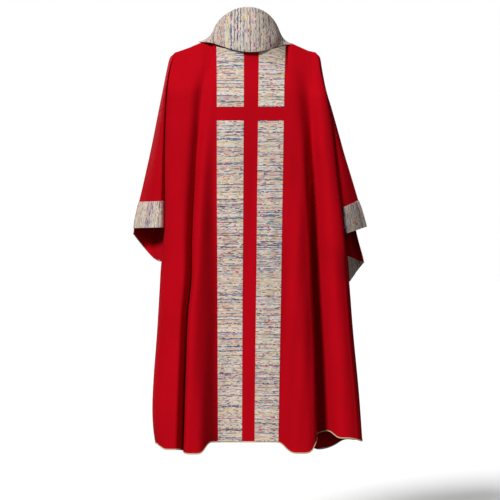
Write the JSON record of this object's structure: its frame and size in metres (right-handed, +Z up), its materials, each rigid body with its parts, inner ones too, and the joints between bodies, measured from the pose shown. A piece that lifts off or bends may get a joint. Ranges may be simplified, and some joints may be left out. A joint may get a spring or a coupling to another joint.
{
  "type": "chasuble",
  "caption": "Gothic chasuble in smooth cloth with tweed orphreys forming a cross, folded shawl collar and banded sleeves, hanging as worn.",
  "frame": {"origin": "middle of the neck opening, level with the inner ends of the shoulder seams, where the wearer's shoulders carry the garment", "axes": "+Z up, the garment's front faces -Y, the wearer's left is +X"},
  "size_m": [0.7353, 0.3793, 1.4396],
  "materials": {
    "red_cloth": "matte plain-weave cloth with a soft sheen",
    "tweed": "slubbed multicolour tweed, matte",
    "lining_red": "matte",
    "interlining": "stiff matte canvas",
    "piping_cream": "cream and gold twisted cord, soft sheen",
    "seam_tape": "matte woven tape",
    "loop_tape": "matte woven tape",
    "label_white": "plain woven satin label"
  },
  "bodies": {
    "root": {"back_panel": "red_cloth", "front_panel": "red_cloth", "back_orphrey_upper_left": "tweed", "back_orphrey_upper_right": "tweed", "back_orphrey_lower_left": "tweed", "back_orphrey_lower_right": "tweed", "front_orphrey_upper_left": "tweed", "front_orphrey_upper_right": "tweed", "front_orphrey_lower_left": "tweed", "front_orphrey_lower_right": "tweed", "left_back_cuff": "tweed", "left_back_cuff_facing": "tweed", "right_back_cuff": "tweed", "right_back_cuff_facing": "tweed", "left_front_cuff": "tweed", "left_front_cuff_facing": "tweed", "right_front_cuff": "tweed", "right_front_cuff_facing": "tweed", "back_neck_facing": "lining_red", "front_neck_facing": "lining_red", "collar": "tweed", "collar_interlining": "interlining", "back_hem_piping": "piping_cream", "front_hem_piping": "piping_cream", "left_shoulder_tape": "seam_tape", "right_shoulder_tape": "seam_tape", "left_side_tape": "seam_tape", "right_side_tape": "seam_tape", "hanger_loop": "loop_tape", "blank_label": "label_white"}
  },
  "joints": []
}
